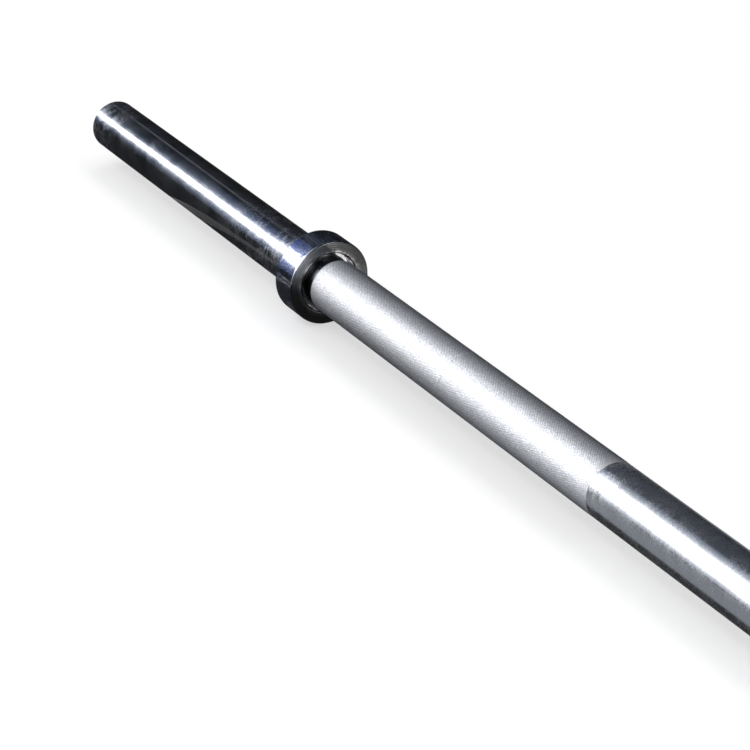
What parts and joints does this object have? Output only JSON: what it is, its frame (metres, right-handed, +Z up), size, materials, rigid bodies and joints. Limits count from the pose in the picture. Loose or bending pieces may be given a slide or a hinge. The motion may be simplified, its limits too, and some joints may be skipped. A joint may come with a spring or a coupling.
{
  "type": "fat bar",
  "caption": "Thick-grip barbell: a straight knurled bar with a smooth centre, a stop collar at each end and a smooth sleeve outboard of it that turns on bushes.",
  "frame": {"origin": "centre of the bar, on its axis, halfway between the two collars", "axes": "+X along the bar to its right-hand end, +Z up, +Y away from the lifter"},
  "size_m": [2.198, 0.08, 0.08],
  "materials": {
    "grip_steel": "satin chrome, with a fine diamond knurl over two stretches and a polished middle",
    "journal_steel": "turned and ground steel",
    "washer_steel": "plain steel",
    "spring_steel": "blackened spring steel",
    "bronze": "bearing bronze",
    "sleeve_chrome": "polished hard chrome",
    "collar_chrome": "polished chrome, with a turned satin inboard face",
    "cap_chrome": "satin chrome with turning marks"
  },
  "bodies": {
    "shaft": {"grip_tube": "grip_steel", "left_journal": "journal_steel", "right_journal": "journal_steel", "left_thrust_washer": "bronze", "right_thrust_washer": "bronze", "left_end_washer": "washer_steel", "right_end_washer": "washer_steel", "left_shaft_ring": "spring_steel", "right_shaft_ring": "spring_steel"},
    "left_sleeve": {"left_sleeve_tube": "sleeve_chrome", "left_collar": "collar_chrome", "left_inner_bush": "bronze", "left_outer_bush": "bronze", "left_end_cap": "cap_chrome", "left_cap_ring": "spring_steel"},
    "right_sleeve": {"right_sleeve_tube": "sleeve_chrome", "right_collar": "collar_chrome", "right_inner_bush": "bronze", "right_outer_bush": "bronze", "right_end_cap": "cap_chrome", "right_cap_ring": "spring_steel"}
  },
  "joints": [
    {"name": "left_sleeve_spin", "type": "hinge", "parent": "shaft", "child": "left_sleeve", "pos_m": [-0.881, 0, 0], "axis": [1, 0, 0], "continuous": true},
    {"name": "right_sleeve_spin", "type": "hinge", "parent": "shaft", "child": "right_sleeve", "pos_m": [0.881, 0, 0], "axis": [1, 0, 0], "continuous": true}
  ]
}
